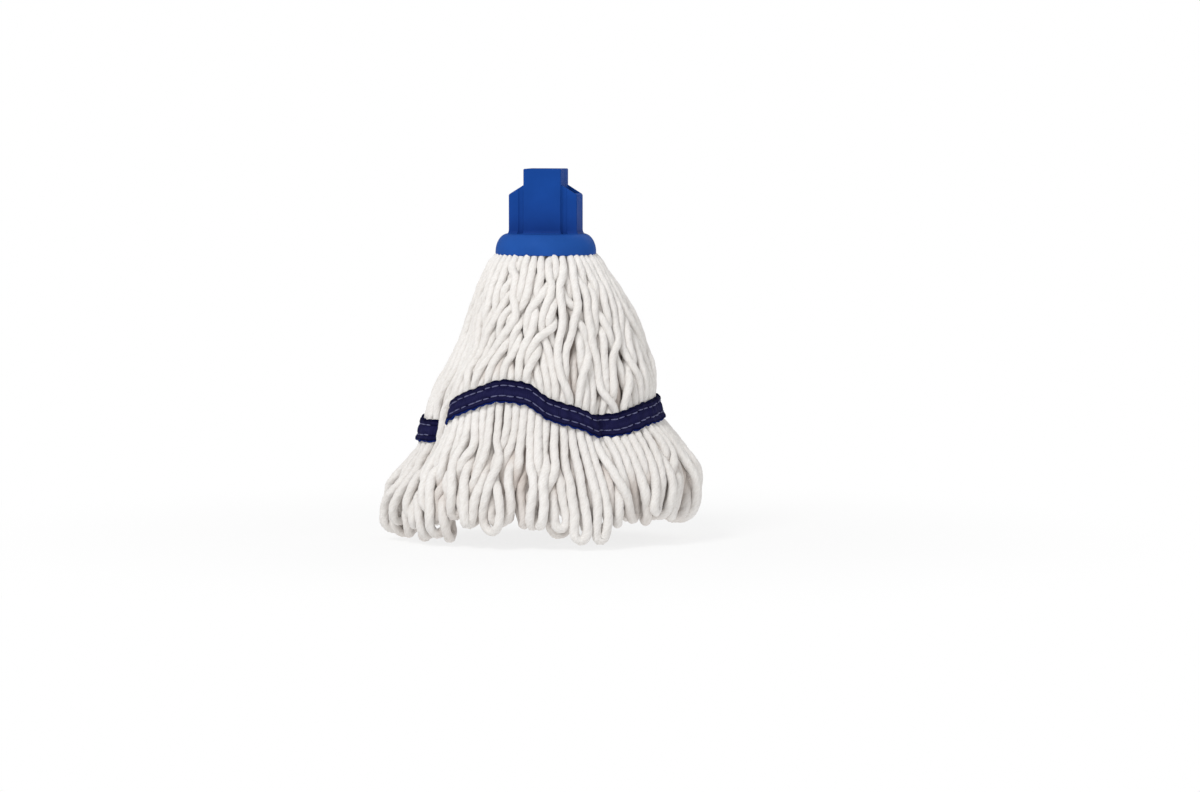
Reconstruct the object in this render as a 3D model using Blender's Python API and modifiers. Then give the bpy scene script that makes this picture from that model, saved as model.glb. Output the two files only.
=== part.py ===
"""Socket mop head: a moulded plastic socket over a curtain of looped yarn with two sewn tailbands.

Metres, +Z up. The mop stands on its loops: z = 0 is the surface under them, the handle bore opens
upwards, the socket's wings lie along X, and -Y is the front. The origin is under the middle of the
footprint. Every piece hangs on one empty on the socket's axis.
"""
import math

import bmesh
import bpy
from mathutils import Vector

# Where the socket's axis stands, so that the footprint's middle is the origin.
AXIS_X = 0.0036
AXIS_Y = 0.0

# Socket: a square neck that runs down between two wings, on a domed skirt. The small step keeps the
# faces of shapes that are joined or cut from lying in one plane.
NECK_WIDTH = 0.0304
NECK_DEPTH = 0.0284
NECK_TOP = 0.2950
NECK_EDGE = 0.0016
WING_SPAN = 0.0553
WING_DEPTH = 0.0237
WING_EDGE = 0.0012
SHOULDER_TOP = 0.2834
SHOULDER_FOOT = 0.2746
BODY_FOOT = 0.2420
BORE_RADIUS = 0.0120
BORE_FLOOR = 0.2445
POCKET_WALL = 0.0020
POCKET_FLOOR = 0.2475
SMALL_STEP = 0.0003
SKIRT_TOP = 0.2436
SKIRT_TOP_RADIUS = 0.0300
SKIRT_RADIUS = 0.0400
SKIRT_DOME_FOOT = 0.2290
SKIRT_FOOT = 0.2270
SKIRT_WALL = 0.0026
SKIRT_STEPS = 48
DOME_POINTS = 6
ROOF_THICKNESS = 0.0030
POST_HOLE_RADIUS = 0.0043
SEAT_RADIUS = 0.0064
SEAT_DEPTH = 0.0006
CUT_MARGIN = 0.0050

# Retainer: a disc under the yarn, on a post that snaps through the bore's floor.
DISC_RADIUS = 0.0130
DISC_FOOT = 0.2295
DISC_TOP = 0.2322
DISC_EDGE = 0.0008
POST_RADIUS = 0.0040
POST_FILLET = 0.0006
BARB_RADIUS = 0.0056
BARB_FOOT = 0.2449
BARB_SHOULDER = 0.2459
BARB_TOP = 0.2490
BARB_TIP_RADIUS = 0.0030

# Crown: the folded middles of the yarns, held between the retainer and the skirt's roof.
CROWN_FOOT = 0.2330
CROWN_TOP = 0.2401
CROWN_BORE = 0.0045
CROWN_RADIUS = 0.0350
CROWN_TOP_RADIUS = 0.0255
CROWN_SHOULDER_RADIUS = 0.0310
CROWN_SHOULDER = 0.2383
CROWN_SIDE_RADIUS = 0.0340
CROWN_SIDE = 0.2356

# Yarn curtain. Bearings are degrees round the axis from the middle of the front tailband, towards +X.
FRONT_BEARING = -78.0
LOCK_COUNT = 36
LOCK_GAP = 0.0006
LOCK_CORNER = 0.28
# The curtain is tucked in along two folds: each row is a bearing, its half-width in degrees and its depth.
FOLDS = ((-69.0, 8.0, 0.11), (38.0, 6.0, 0.07))
HEM_RISE = 0.0070
HEM_WAVES = 4

# The tailbands rise and dip round the curtain: each row is a bearing and the height of the tape's middle.
TAPE_POINTS = (
    (-90.0, 0.0885), (-74.0, 0.0880), (-64.0, 0.1010), (-45.0, 0.1150), (-26.0, 0.1228), (-12.0, 0.1205),
    (3.0, 0.1085), (22.0, 0.1010), (35.0, 0.0945), (45.0, 0.0955), (68.0, 0.1030), (100.0, 0.1070),
    (170.0, 0.1000), (225.0, 0.1120), (270.0, 0.0885),
)

# The curtain's stations from the collar to the hem, as (rule, height, left, right, depth, thickness, fold).
# The rule says what the height counts from: the floor, the tape's middle, or the hem. Left and right are
# the radii at the sides, depth is the front and rear radius as a share of them, and fold is the share of
# the folds' depth.
STATIONS = (
    ("floor", 0.2326, 0.0355, 0.0355, 1.00, 0.0205, 0.0),
    ("floor", 0.2250, 0.0362, 0.0362, 1.00, 0.0190, 0.0),
    ("floor", 0.2160, 0.0462, 0.0497, 0.96, 0.0168, 0.0),
    ("floor", 0.2020, 0.0545, 0.0625, 0.91, 0.0140, 0.2),
    ("floor", 0.1760, 0.0615, 0.0745, 0.85, 0.0115, 0.4),
    ("floor", 0.1500, 0.0680, 0.0835, 0.79, 0.0095, 0.7),
    ("tape", 0.0180, 0.0865, 0.0890, 0.77, 0.0085, 1.0),
    ("tape", 0.0095, 0.0940, 0.0875, 0.74, 0.0080, 1.0),
    ("tape", 0.0000, 0.0975, 0.0890, 0.74, 0.0078, 1.0),
    ("tape", -0.0095, 0.1010, 0.0930, 0.75, 0.0080, 1.0),
    ("hem", 0.0620, 0.1120, 0.1140, 0.75, 0.0095, 0.8),
    ("hem", 0.0360, 0.1260, 0.1240, 0.76, 0.0115, 0.5),
    ("hem", 0.0130, 0.1305, 0.1215, 0.77, 0.0120, 0.3),
    ("hem", 0.0040, 0.1270, 0.1180, 0.77, 0.0090, 0.3),
    ("hem", 0.0000, 0.1235, 0.1150, 0.77, 0.0040, 0.3),
)
HEM_NARROWING = {13: 0.78, 14: 0.40}
TAPE_STATIONS = (7, 8, 9)

# Tailbands and their stitching: (name, first bearing, last bearing).
BANDS = (("front", -64.0, 101.0), ("rear", 107.0, 285.0))
BAND_STEP = 4.0
TAPE_GAP = 0.0006
TAPE_THICKNESS = 0.0014
STITCH_GAP = 0.0004
STITCH_THICKNESS = 0.0006
STITCH_WIDTH = 0.0012
STITCH_ROWS = (("upper", 0.0044), ("lower", -0.0036))


def clear_scene():
    """Start from an empty scene."""
    for item in list(bpy.data.objects):
        bpy.data.objects.remove(item, do_unlink=True)


def make_collection(name):
    """A new collection in the scene."""
    collection = bpy.data.collections.new(name)
    bpy.context.scene.collection.children.link(collection)
    return collection


def make_material(name, colour, roughness):
    """A Principled material of one colour."""
    material = bpy.data.materials.new(name)
    material.use_nodes = True
    shader = material.node_tree.nodes["Principled BSDF"]
    shader.inputs["Base Color"].default_value = (*colour, 1.0)
    shader.inputs["Roughness"].default_value = roughness
    shader.inputs["Metallic"].default_value = 0.0
    return material


clear_scene()
PARTS = make_collection("string_mop")
CUTTERS = make_collection("cutters")
BLUE_PLASTIC = make_material("blue_plastic", (0.013, 0.066, 0.305), 0.42)
NATURAL_PLASTIC = make_material("natural_plastic", (0.62, 0.62, 0.60), 0.50)
WHITE_YARN = make_material("white_yarn", (0.80, 0.78, 0.75), 0.95)
NAVY_TAPE = make_material("navy_tape", (0.014, 0.012, 0.085), 0.90)
LILAC_THREAD = make_material("lilac_thread", (0.22, 0.22, 0.36), 0.85)
AXIS = bpy.data.objects.new("socket_axis", None)
AXIS.location = (AXIS_X, AXIS_Y, 0.0)
PARTS.objects.link(AXIS)


def place(mesh, name, material):
    """A piece on the socket's axis."""
    piece = bpy.data.objects.new(name, mesh)
    piece.parent = AXIS
    piece.data.materials.append(material)
    PARTS.objects.link(piece)
    return piece


def place_cutter(mesh, name):
    """A hidden shape that is joined to a piece or cut from it."""
    cutter = bpy.data.objects.new(name, mesh)
    cutter.parent = AXIS
    cutter.hide_render = True
    cutter.display_type = "WIRE"
    CUTTERS.objects.link(cutter)
    return cutter


def box_mesh(name, low, high):
    """A box between two corners."""
    size = [b - a for a, b in zip(low, high)]
    middle = [(a + b) / 2 for a, b in zip(low, high)]
    shape = bmesh.new()
    bmesh.ops.create_cube(shape, size=1.0)
    bmesh.ops.scale(shape, vec=size, verts=shape.verts)
    bmesh.ops.translate(shape, vec=middle, verts=shape.verts)
    return finish_mesh(shape, name)


def finish_mesh(shape, name):
    """Turn a bmesh into a mesh."""
    mesh = bpy.data.meshes.new(name)
    shape.to_mesh(mesh)
    shape.free()
    return mesh


def profile_mesh(name, points):
    """A closed profile in the XZ plane, for a Screw modifier."""
    shape = bmesh.new()
    corners = [shape.verts.new((radius, 0.0, height)) for radius, height in points]
    for first, second in zip(corners, corners[1:]):
        shape.edges.new((first, second))
    if points[0][0] > 0.0:
        shape.edges.new((corners[-1], corners[0]))
    return finish_mesh(shape, name)


def add_turning(piece, steps):
    """Turn the profile right round the axis."""
    turning = piece.modifiers.new("turning", "SCREW")
    turning.axis = "Z"
    turning.steps = steps
    turning.render_steps = steps
    turning.use_merge_vertices = True
    turning.merge_threshold = 0.00001
    turning.use_smooth_shade = True


def add_edge(piece, width, segments):
    """Round the piece's edges."""
    edge = piece.modifiers.new("edge", "BEVEL")
    edge.width = width
    edge.segments = segments
    edge.limit_method = "ANGLE"


def add_boolean(piece, other, operation):
    """Join another shape to the piece, or cut it out."""
    step = piece.modifiers.new(other.name, "BOOLEAN")
    step.operation = operation
    step.object = other
    step.solver = "EXACT"


def outline_mesh(name, points, thickness):
    """A flat outline in XZ, given thickness along Y."""
    curve = bpy.data.curves.new(name, "CURVE")
    curve.dimensions = "2D"
    curve.fill_mode = "BOTH"
    curve.extrude = thickness / 2
    line = curve.splines.new("POLY")
    line.points.add(len(points) - 1)
    for point, (across, up) in zip(line.points, points):
        point.co = (across, up, 0.0, 1.0)
    line.use_cyclic_u = True
    guide = bpy.data.objects.new(name, curve)
    PARTS.objects.link(guide)
    seen = guide.evaluated_get(bpy.context.evaluated_depsgraph_get())
    mesh = bpy.data.meshes.new_from_object(seen)
    bpy.data.objects.remove(guide, do_unlink=True)
    shape = bmesh.new()
    shape.from_mesh(mesh)
    bmesh.ops.remove_doubles(shape, verts=shape.verts, dist=0.00001)
    for corner in shape.verts:
        corner.co = Vector((corner.co.x, -corner.co.z, corner.co.y))
    bmesh.ops.recalc_face_normals(shape, faces=shape.faces)
    shape.to_mesh(mesh)
    shape.free()
    return mesh


def dome_points(inset):
    """The skirt's quarter-round from its top down to its straight foot, moved in by the inset."""
    points = []
    for number in range(DOME_POINTS + 1):
        turn = math.radians(90.0 * (1.0 - number / DOME_POINTS))
        radius = SKIRT_TOP_RADIUS + (SKIRT_RADIUS - SKIRT_TOP_RADIUS) * math.cos(turn)
        height = SKIRT_DOME_FOOT + (SKIRT_TOP - SKIRT_DOME_FOOT) * math.sin(turn)
        points.append((radius - inset, height - inset * math.sin(turn)))
    return points


def make_skirt():
    """The domed skirt as a solid of revolution, before its hollow is cut."""
    points = [(0.0, SKIRT_TOP)] + dome_points(0.0) + [(SKIRT_RADIUS, SKIRT_FOOT), (0.0, SKIRT_FOOT)]
    skirt = place_cutter(profile_mesh("skirt_form", points), "skirt_form")
    add_turning(skirt, SKIRT_STEPS)
    return skirt


def make_socket_hollow():
    """The handle's bore, the post's hole and its chamfer, and the hollow for the yarn, as one turning."""
    roof = SKIRT_TOP - ROOF_THICKNESS
    bore_top = NECK_TOP + CUT_MARGIN
    bore = [(0.0, bore_top), (BORE_RADIUS, bore_top), (BORE_RADIUS, BORE_FLOOR)]
    seat = [(SEAT_RADIUS, BORE_FLOOR), (POST_HOLE_RADIUS, BORE_FLOOR - SEAT_DEPTH)]
    hole = [(POST_HOLE_RADIUS, roof)]
    arch = [(radius, height) for radius, height in dome_points(SKIRT_WALL) if height < roof]
    spring = [(arch[0][0] - (roof - arch[0][1]), roof)]
    foot = SKIRT_FOOT - CUT_MARGIN
    points = bore + seat + hole + spring + arch + [(SKIRT_RADIUS - SKIRT_WALL, foot), (0.0, foot)]
    hollow = place_cutter(profile_mesh("socket_hollow", points), "socket_hollow")
    add_turning(hollow, SKIRT_STEPS)
    return hollow


def make_wings():
    """Both wings as one plate whose upper corners slope down."""
    half_span = WING_SPAN / 2
    half_neck = NECK_WIDTH / 2 - NECK_EDGE
    outline = [
        (-half_span, BODY_FOOT), (half_span, BODY_FOOT), (half_span, SHOULDER_FOOT),
        (half_neck, SHOULDER_TOP), (-half_neck, SHOULDER_TOP), (-half_span, SHOULDER_FOOT),
    ]
    wings = place_cutter(outline_mesh("wing_form", outline, WING_DEPTH), "wing_form")
    add_edge(wings, WING_EDGE, 2)
    return wings


def make_pocket(side):
    """The hollow in one wing, open at the sloping top."""
    inner = side * (NECK_WIDTH / 2 + SMALL_STEP)
    outer = side * (WING_SPAN / 2 - POCKET_WALL)
    half_depth = WING_DEPTH / 2 - POCKET_WALL
    low = (min(inner, outer), -half_depth, POCKET_FLOOR)
    high = (max(inner, outer), half_depth, NECK_TOP)
    name = "right_pocket" if side > 0 else "left_pocket"
    return place_cutter(box_mesh(name, low, high), name)


def make_socket():
    """The socket is one moulding: neck, wings and skirt, with the bore, pockets and hollow cut out."""
    low = (-NECK_WIDTH / 2, -NECK_DEPTH / 2, BODY_FOOT + SMALL_STEP)
    high = (NECK_WIDTH / 2, NECK_DEPTH / 2, NECK_TOP)
    socket = place(box_mesh("mop_socket", low, high), "mop_socket", BLUE_PLASTIC)
    add_edge(socket, NECK_EDGE, 3)
    add_boolean(socket, make_wings(), "UNION")
    add_boolean(socket, make_skirt(), "UNION")
    add_boolean(socket, make_socket_hollow(), "DIFFERENCE")
    for side in (-1, 1):
        add_boolean(socket, make_pocket(side), "DIFFERENCE")


def make_retainer():
    """The disc and barbed post that hold the yarn up in the skirt."""
    points = [
        (0.0, BARB_TOP), (BARB_TIP_RADIUS, BARB_TOP), (BARB_RADIUS, BARB_SHOULDER),
        (BARB_RADIUS, BARB_FOOT), (POST_RADIUS, BARB_FOOT), (POST_RADIUS, DISC_TOP + POST_FILLET),
        (POST_RADIUS + POST_FILLET, DISC_TOP), (DISC_RADIUS - DISC_EDGE, DISC_TOP),
        (DISC_RADIUS, DISC_TOP - DISC_EDGE), (DISC_RADIUS, DISC_FOOT + DISC_EDGE),
        (DISC_RADIUS - DISC_EDGE, DISC_FOOT), (0.0, DISC_FOOT),
    ]
    retainer = place(profile_mesh("yarn_retainer", points), "yarn_retainer", NATURAL_PLASTIC)
    add_turning(retainer, 32)


def make_crown():
    """The yarns' folded middles, pressed into a ring round the retainer's post."""
    points = [
        (CROWN_BORE, CROWN_TOP), (CROWN_TOP_RADIUS, CROWN_TOP), (CROWN_SHOULDER_RADIUS, CROWN_SHOULDER),
        (CROWN_SIDE_RADIUS, CROWN_SIDE), (CROWN_RADIUS, CROWN_FOOT), (CROWN_BORE, CROWN_FOOT),
    ]
    crown = place(profile_mesh("yarn_crown", points), "yarn_crown", WHITE_YARN)
    add_turning(crown, 36)


def tape_slopes():
    """The tape's slope at each of its points: level at a crest or a dip, and eased in between."""
    steps = [(end - start) / (last - first)
             for (first, start), (last, end) in zip(TAPE_POINTS, TAPE_POINTS[1:])]
    slopes = []
    for before, after in zip([steps[-1]] + steps, steps + [steps[0]]):
        rising = before * after > 0.0
        slopes.append(2.0 * before * after / (before + after) if rising else 0.0)
    return slopes


TAPE_SLOPES = tape_slopes()


def tape_height(bearing):
    """The height of a tailband's middle, on a smooth cubic from each point to the next."""
    turn = (bearing + 90.0) % 360.0 - 90.0
    for number, ((first, start), (last, end)) in enumerate(zip(TAPE_POINTS, TAPE_POINTS[1:])):
        if first <= turn <= last:
            run = last - first
            share = (turn - first) / run
            eased = share * share * (3.0 - 2.0 * share)
            leaving = run * TAPE_SLOPES[number] * share * (1.0 - share) ** 2
            arriving = run * TAPE_SLOPES[number + 1] * share * share * (1.0 - share)
            return start + (end - start) * eased + leaving - arriving
    return TAPE_POINTS[0][1]


def hem_height(bearing):
    """The height of the loops' ends, which touch the floor in four places round the curtain."""
    return HEM_RISE * 0.5 * (1.0 + math.cos(math.radians(HEM_WAVES * bearing)))


def station_height(station, bearing):
    """The height of a station of the curtain at a bearing."""
    rule, height = STATIONS[station][:2]
    if rule == "tape":
        return tape_height(bearing) + height
    if rule == "hem":
        return hem_height(bearing) + height
    return height


def station_reach(station, bearing):
    """The curtain's outer radius at a station and bearing: two half ellipses, tucked in at the folds."""
    left, right, depth, _, fold = STATIONS[station][2:]
    across = math.sin(math.radians(bearing))
    along = math.cos(math.radians(bearing))
    side = right if across > 0.0 else left
    front = depth * (left + right) / 2
    reach = 1.0 / math.hypot(across / side, along / front)
    for middle, spread, tuck in FOLDS:
        turn = (bearing - middle + 180.0) % 360.0 - 180.0
        reach *= 1.0 - tuck * fold * math.exp(-((turn / spread) ** 2))
    return reach


def curtain_point(bearing, radius, height):
    """A point at a bearing, a radius and a height."""
    turn = math.radians(bearing + FRONT_BEARING)
    return Vector((radius * math.cos(turn), radius * math.sin(turn), height))


def loft(rings):
    """A closed solid through a row of rings with the same number of points."""
    shape = bmesh.new()
    rows = [[shape.verts.new(point) for point in ring] for ring in rings]
    count = len(rows[0])
    for upper, lower in zip(rows, rows[1:]):
        for number in range(count):
            following = (number + 1) % count
            shape.faces.new((upper[number], upper[following], lower[following], lower[number]))
    shape.faces.new(rows[0])
    shape.faces.new(rows[-1])
    bmesh.ops.recalc_face_normals(shape, faces=shape.faces)
    return shape


def lock_ring(middle, station):
    """One section of a lock: a rounded wedge inside the lock's own sector."""
    half_sector = 180.0 / LOCK_COUNT
    thickness = STATIONS[station][5]
    share = HEM_NARROWING.get(station, 1.0)
    corners = (
        (1.0, 1.0 - LOCK_CORNER), (1.0 - LOCK_CORNER, 1.0), (0.0, 1.0), (LOCK_CORNER - 1.0, 1.0),
        (-1.0, 1.0 - LOCK_CORNER), (-1.0, LOCK_CORNER), (LOCK_CORNER - 1.0, 0.0), (0.0, 0.0),
        (1.0 - LOCK_CORNER, 0.0), (1.0, LOCK_CORNER),
    )
    ring = []
    for sideways, outward in corners:
        radius = station_reach(station, middle) - thickness * (1.0 - outward)
        half_gap = math.degrees(LOCK_GAP / 2 / radius)
        bearing = middle + sideways * share * (half_sector - half_gap)
        radius = station_reach(station, bearing) - thickness * (1.0 - outward)
        ring.append(curtain_point(bearing, radius, station_height(station, bearing)))
    return ring


def make_locks():
    """The locks of looped yarn, side by side round the skirt."""
    for number in range(LOCK_COUNT):
        middle = 360.0 * (number + 0.5) / LOCK_COUNT - 180.0
        rings = [lock_ring(middle, station) for station in range(len(STATIONS))]
        name = f"yarn_lock_{number + 1:02d}"
        place(finish_mesh(loft(rings), name), name, WHITE_YARN)


def band_bearings(first, last):
    """Even steps from one end of a tailband to the other."""
    steps = round((last - first) / BAND_STEP)
    return [first + (last - first) * number / steps for number in range(steps + 1)]


def surface_radius(bearing, rise):
    """The curtain's outer radius at a height above the tailband's middle."""
    top, middle, foot = (station_reach(station, bearing) for station in TAPE_STATIONS)
    share = abs(rise) / STATIONS[TAPE_STATIONS[0]][1]
    return middle + share * ((top if rise > 0.0 else foot) - middle)


def make_tape(name, first, last):
    """A tailband, a woven tape round the outside of the locks."""
    rings = []
    for bearing in band_bearings(first, last):
        ring = []
        for offset in (TAPE_GAP, TAPE_GAP + TAPE_THICKNESS):
            stations = TAPE_STATIONS if offset == TAPE_GAP else TAPE_STATIONS[::-1]
            for station in stations:
                radius = station_reach(station, bearing) + offset
                ring.append(curtain_point(bearing, radius, station_height(station, bearing)))
        rings.append(ring)
    place(finish_mesh(loft(rings), name), name, NAVY_TAPE)


def make_stitching(name, first, last, rise):
    """One row of thread along a tailband."""
    near = TAPE_GAP + TAPE_THICKNESS + STITCH_GAP
    far = near + STITCH_THICKNESS
    half = STITCH_WIDTH / 2
    rings = []
    for bearing in band_bearings(first, last):
        ring = []
        for offset, shift in ((near, half), (near, -half), (far, -half), (far, half)):
            radius = surface_radius(bearing, rise + shift) + offset
            ring.append(curtain_point(bearing, radius, tape_height(bearing) + rise + shift))
        rings.append(ring)
    place(finish_mesh(loft(rings), name), name, LILAC_THREAD)


def make_tailbands():
    """The front and rear tailbands, each with two rows of stitching."""
    for band, first, last in BANDS:
        make_tape(f"{band}_tailband", first, last)
        for row, rise in STITCH_ROWS:
            make_stitching(f"{band}_{row}_stitching", first, last, rise)


make_socket()
make_retainer()
make_crown()
make_locks()
make_tailbands()
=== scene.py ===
"""String mop head: the looks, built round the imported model.

Looped yarn is laid along the curtain's surface, relaxed as soft strands that push each other apart, and
skinned as plied yarn. Two puckered tailbands with thread stitches hold it, under a moulded socket.
Lengths are metres and bearings are degrees round the socket's axis from the middle of the front tailband.
"""
import itertools
import math

import bmesh
import bpy
import numpy as np
from mathutils import Matrix, Vector


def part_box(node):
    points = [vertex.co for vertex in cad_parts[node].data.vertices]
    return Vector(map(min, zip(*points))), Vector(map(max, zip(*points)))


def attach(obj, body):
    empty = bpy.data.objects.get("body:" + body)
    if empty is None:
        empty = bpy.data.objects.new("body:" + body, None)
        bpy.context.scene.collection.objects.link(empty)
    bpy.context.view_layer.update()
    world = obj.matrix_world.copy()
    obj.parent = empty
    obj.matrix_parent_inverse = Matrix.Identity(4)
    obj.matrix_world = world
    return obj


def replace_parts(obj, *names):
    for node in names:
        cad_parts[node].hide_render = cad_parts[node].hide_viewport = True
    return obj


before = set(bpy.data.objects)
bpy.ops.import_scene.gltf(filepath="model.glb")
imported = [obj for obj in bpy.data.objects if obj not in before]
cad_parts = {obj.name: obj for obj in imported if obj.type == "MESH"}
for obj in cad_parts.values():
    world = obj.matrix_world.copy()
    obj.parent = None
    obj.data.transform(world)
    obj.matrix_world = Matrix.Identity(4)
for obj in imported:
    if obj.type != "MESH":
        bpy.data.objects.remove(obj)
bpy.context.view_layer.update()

# The socket's axis and the direction of bearing 0, as in the CAD model.
AXIS_X = 0.0036
AXIS_Y = 0.0
FRONT_BEARING = -78.0

# The curtain's stations from the collar down: rule, height, left, right, depth share, fold share.
STATIONS = (
    ("floor", 0.2326, 0.0366, 0.0366, 1.00, 0.0),
    ("floor", 0.2278, 0.0372, 0.0372, 1.00, 0.0),
    ("floor", 0.2250, 0.0416, 0.0412, 1.00, 0.0),
    ("floor", 0.2160, 0.0455, 0.0455, 0.98, 0.0),
    ("floor", 0.2020, 0.0520, 0.0562, 0.94, 0.2),
    ("floor", 0.1760, 0.0610, 0.0710, 0.87, 0.4),
    ("floor", 0.1500, 0.0710, 0.0800, 0.81, 0.7),
    ("tape", 0.0180, 0.0950, 0.0905, 0.75, 1.0),
    ("tape", 0.0088, 0.0970, 0.0875, 0.73, 1.0),
    ("tape", 0.0000, 0.0985, 0.0890, 0.74, 1.0),
    ("tape", -0.0088, 0.1012, 0.0928, 0.75, 1.0),
    ("hem", 0.0620, 0.1045, 0.1085, 0.77, 0.8),
    ("hem", 0.0360, 0.1260, 0.1232, 0.76, 0.5),
    ("hem", 0.0130, 0.1305, 0.1215, 0.77, 0.3),
    ("hem", 0.0000, 0.1290, 0.1200, 0.77, 0.3),
)
TAPE_STATION = 9
# Folds as bearing, spread in degrees and depth. The last is the sharp crease inside the second.
FOLDS = ((-69.0, 8.0, 0.11), (38.0, 6.0, 0.07), (38.0, 1.5, 0.029))
TAPE_POINTS = (
    (-90.0, 0.0885), (-71.0, 0.0880), (-64.0, 0.1010), (-45.0, 0.1150), (-26.0, 0.1228),
    (-12.0, 0.1205), (3.0, 0.1085), (22.0, 0.1010), (35.0, 0.0945), (45.0, 0.0955),
    (68.0, 0.1030), (100.0, 0.1070), (170.0, 0.1000), (225.0, 0.1120), (270.0, 0.0885),
)
TAPE_HALF = 0.0088
TAPE_GAP = 0.0006

# The heights of the outer loops' ends over the floor, as bearings and heights.
HEM_POINTS = (
    (-90.0, 0.006), (-76.0, 0.006), (-66.0, 0.011), (-45.0, 0.014), (-20.0, 0.015), (0.0, 0.011),
    (7.0, 0.014), (12.0, 0.003), (30.0, 0.001), (34.0, 0.013), (56.0, 0.012), (66.0, 0.020),
    (74.0, 0.016), (95.0, 0.014), (140.0, 0.001), (180.0, 0.005), (220.0, 0.001), (250.0, 0.003),
    (270.0, 0.006),
)
# The same for the loops under them, which hang out below the outer ones left of the front.
INNER_HEM_POINTS = (
    (-90.0, 0.005), (-82.0, -0.0015), (-46.0, -0.0015), (-40.0, 0.010), (-4.0, 0.011), (10.0, 0.006),
    (30.0, 0.006), (38.0, 0.013), (60.0, 0.014), (100.0, 0.014), (125.0, 0.004), (230.0, 0.004),
    (270.0, 0.007),
)

# The yarn: rings of strands in the skirt, as the number in each ring and its radius.
YARN_RADIUS = 0.0033
HEM_SWELL = 0.17
YARN_TOP = 0.2332
PIN_HEIGHT = 0.2285
RINGS = ((43, 0.0347), (37, 0.0302), (32, 0.0258), (26, 0.0214), (20, 0.0170))
OUTER_LOOPS = 40
INNER_DEPTH = 0.0058
INNER_LOOPS = 39
NODE_STEP = 0.0040
TEARDROP = 0.034
WIDE_LOOP = 0.024
CURL_REACH = 0.042
STRAY_SHARE = 0.15

# Loops that stand out from the rest: bearing, width, height of the end, turn in degrees, outward kick.
SHOWN_LOOPS = (
    (-93.0, 0.026, 0.018, 80.0, 0.000), (-86.0, 0.038, 0.005, 82.0, 0.010),
    (-79.0, 0.019, 0.011, 80.0, 0.000), (-3.0, 0.018, 0.013, 60.0, 0.002),
    (16.0, 0.023, 0.002, 6.0, 0.004), (27.5, 0.0150, 0.001, 30.0, 0.004),
    (-24.0, 0.019, 0.009, 35.0, 0.003), (76.0, 0.022, 0.016, -65.0, 0.001),
    (84.0, 0.031, 0.0135, -78.0, 0.002), (91.0, 0.024, 0.020, -80.0, 0.000),
)

# How a strand wanders: its own waves, the drifts it shares, its swell, and how far strays go.
WAVE_ABOVE = 0.0028
WAVE_BELOW = 0.0020
WAVE_IN = 0.0016
DRIFT_ABOVE = 0.0056
DRIFT_BELOW = 0.0042
SWELL = 0.0015
STRAY_REACH = (0.006, 0.012)
STRAY_RISE = 0.0035

# How the strands settle: each contact's reach, nearest approach and push, and each round's other moves.
CONTACT_REACH = 0.0092
CONTACT_SHARE = 0.95
CONTACT_PUSH = 1.2
STRAIGHTENING = 0.10
TAPE_PULL = 0.25
STRAND_PULL = 0.012
HEM_PULL = 0.006
HEM_TOP = 0.05
LOOSE_SLACK = 0.0030
LOOSE_RUN = 0.010
ROUNDS = 200

random = np.random.default_rng(7)


def smooth(share):
    """A smooth step from 0 to 1."""
    share = np.clip(share, 0.0, 1.0)
    return share * share * (3.0 - 2.0 * share)


def wrapped(bearing):
    """A bearing from -90 up to 270."""
    return (np.asarray(bearing, float) + 90.0) % 360.0 - 90.0


def turn_from(bearing, middle):
    """The turn from the middle to a bearing, from -180 up to 180."""
    return (bearing - middle + 180.0) % 360.0 - 180.0


def lengths_along(line):
    """The length of a line up to each of its points."""
    return np.concatenate([[0.0], np.cumsum(np.linalg.norm(np.diff(line, axis=0), axis=1))])


def spline(values, share):
    """A smooth step between the middle two of four values in a row."""
    p0, p1, p2, p3 = values
    return 0.5 * (2 * p1 + (p2 - p0) * share + (2 * p0 - 5 * p1 + 4 * p2 - p3) * share ** 2
                  + (3 * p1 - p0 - 3 * p2 + p3) * share ** 3)


def ripple(along, pitch, start=0.0):
    """A wave along a length."""
    return np.sin(2.0 * np.pi * along / pitch + start)


def tape_slopes():
    """The tape's slope at each of its points: level at a crest or a dip, and eased in between."""
    bearings, heights = np.transpose(TAPE_POINTS)
    steps = np.diff(heights) / np.diff(bearings)
    before = np.concatenate([steps[-1:], steps])
    after = np.concatenate([steps, steps[:1]])
    rising = before * after > 0.0
    return np.where(rising, 2.0 * before * after / np.where(rising, before + after, 1.0), 0.0)


TAPE_SLOPES = tape_slopes()


def tape_height(bearing):
    """The height of the tailband's middle at each bearing, on a smooth cubic."""
    bearings, heights = np.transpose(TAPE_POINTS)
    turn = wrapped(bearing)
    index = np.clip(np.searchsorted(bearings, turn, "right") - 1, 0, len(bearings) - 2)
    run = bearings[index + 1] - bearings[index]
    share = (turn - bearings[index]) / run
    eased = heights[index] + (heights[index + 1] - heights[index]) * smooth(share)
    leaving = run * TAPE_SLOPES[index] * share * (1.0 - share) ** 2
    return eased + leaving - run * TAPE_SLOPES[index + 1] * share ** 2 * (1.0 - share)


def hem_height(bearing, points=HEM_POINTS):
    """The height of the loops' ends at each bearing."""
    bearings, heights = zip(*points)
    return np.interp(wrapped(bearing), bearings, heights)


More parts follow.
